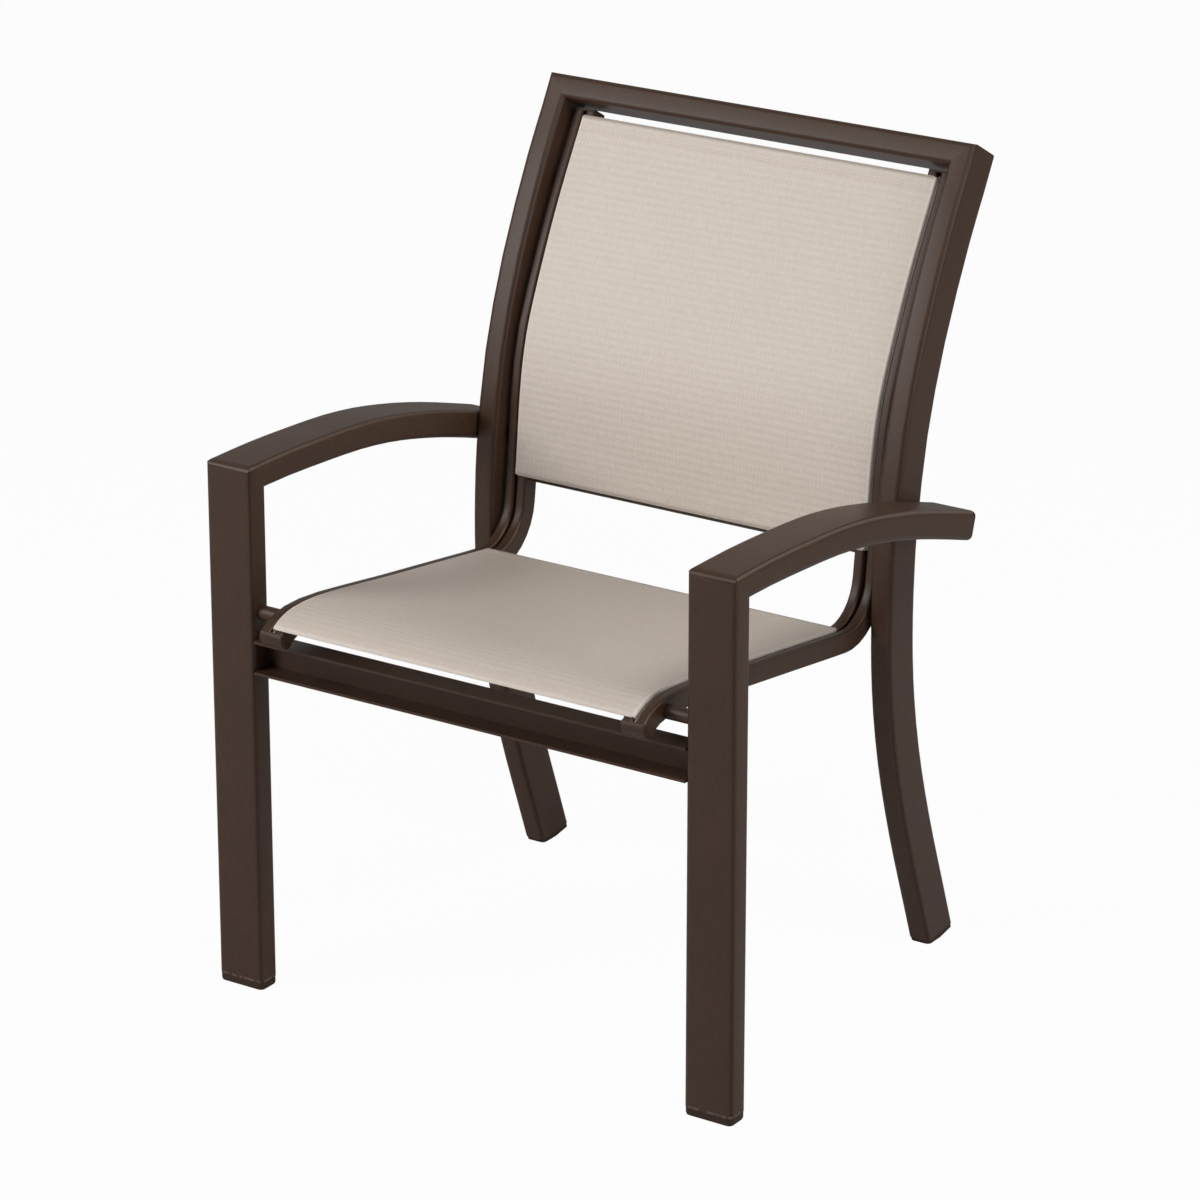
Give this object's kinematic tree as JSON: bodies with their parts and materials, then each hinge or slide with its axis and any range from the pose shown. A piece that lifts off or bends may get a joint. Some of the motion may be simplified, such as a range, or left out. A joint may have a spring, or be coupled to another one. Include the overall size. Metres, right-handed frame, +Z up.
{
  "type": "sling patio chair",
  "caption": "Outdoor dining armchair with a bent dark bronze tube frame, curved flat arms, and pale woven slings stretched between grooved rails for the back and the seat.",
  "frame": {"origin": "on the floor, under the middle of the whole chair", "axes": "+X to the right as the chair is seen from the front, +Y to the rear, +Z up"},
  "size_m": [0.65, 0.6276, 0.891],
  "materials": {
    "frame_coat": "satin dark bronze powder coat on aluminium tube, with a fine texture",
    "cap_plastic": "moulded dark bronze plastic, colour matched to the frame",
    "sling_weave": "coated mesh weave in pale beige with fine ribs across the width",
    "spline_plastic": "extruded pale plastic rod",
    "glide_plastic": "moulded dark plastic",
    "bolt_steel": "plain stainless steel"
  },
  "bodies": {
    "root": {"front_leg_right": "frame_coat", "front_leg_left": "frame_coat", "arm_right": "frame_coat", "arm_left": "frame_coat", "arm_end_cap_right": "cap_plastic", "arm_end_cap_left": "cap_plastic", "upright_right": "frame_coat", "upright_left": "frame_coat", "top_rail": "frame_coat", "front_stretcher": "frame_coat", "sling_rail_right": "frame_coat", "sling_rail_left": "frame_coat", "rail_nose_right": "cap_plastic", "rail_nose_left": "cap_plastic", "rail_top_cap_right": "cap_plastic", "rail_top_cap_left": "cap_plastic", "back_sling": "sling_weave", "seat_sling": "sling_weave", "seat_spline_right": "spline_plastic", "seat_spline_left": "spline_plastic", "back_spline_right": "spline_plastic", "back_spline_left": "spline_plastic", "back_spreader_bar": "frame_coat", "seat_spreader_bar": "frame_coat", "front_stub_right": "frame_coat", "front_stub_left": "frame_coat", "front_bolt_right": "bolt_steel", "front_bolt_left": "bolt_steel", "front_bolt_insert_right": "bolt_steel", "front_bolt_insert_left": "bolt_steel", "lower_back_bolt_right": "bolt_steel", "lower_back_bolt_left": "bolt_steel", "lower_back_bolt_insert_right": "bolt_steel", "lower_back_bolt_insert_left": "bolt_steel", "lower_back_spacer_right": "glide_plastic", "lower_back_spacer_left": "glide_plastic", "upper_back_bolt_right": "bolt_steel", "upper_back_bolt_left": "bolt_steel", "upper_back_bolt_insert_right": "bolt_steel", "upper_back_bolt_insert_left": "bolt_steel", "upper_back_spacer_right": "glide_plastic", "upper_back_spacer_left": "glide_plastic", "front_glide_right": "glide_plastic", "front_glide_left": "glide_plastic", "rear_glide_right": "glide_plastic", "rear_glide_left": "glide_plastic"}
  },
  "joints": []
}
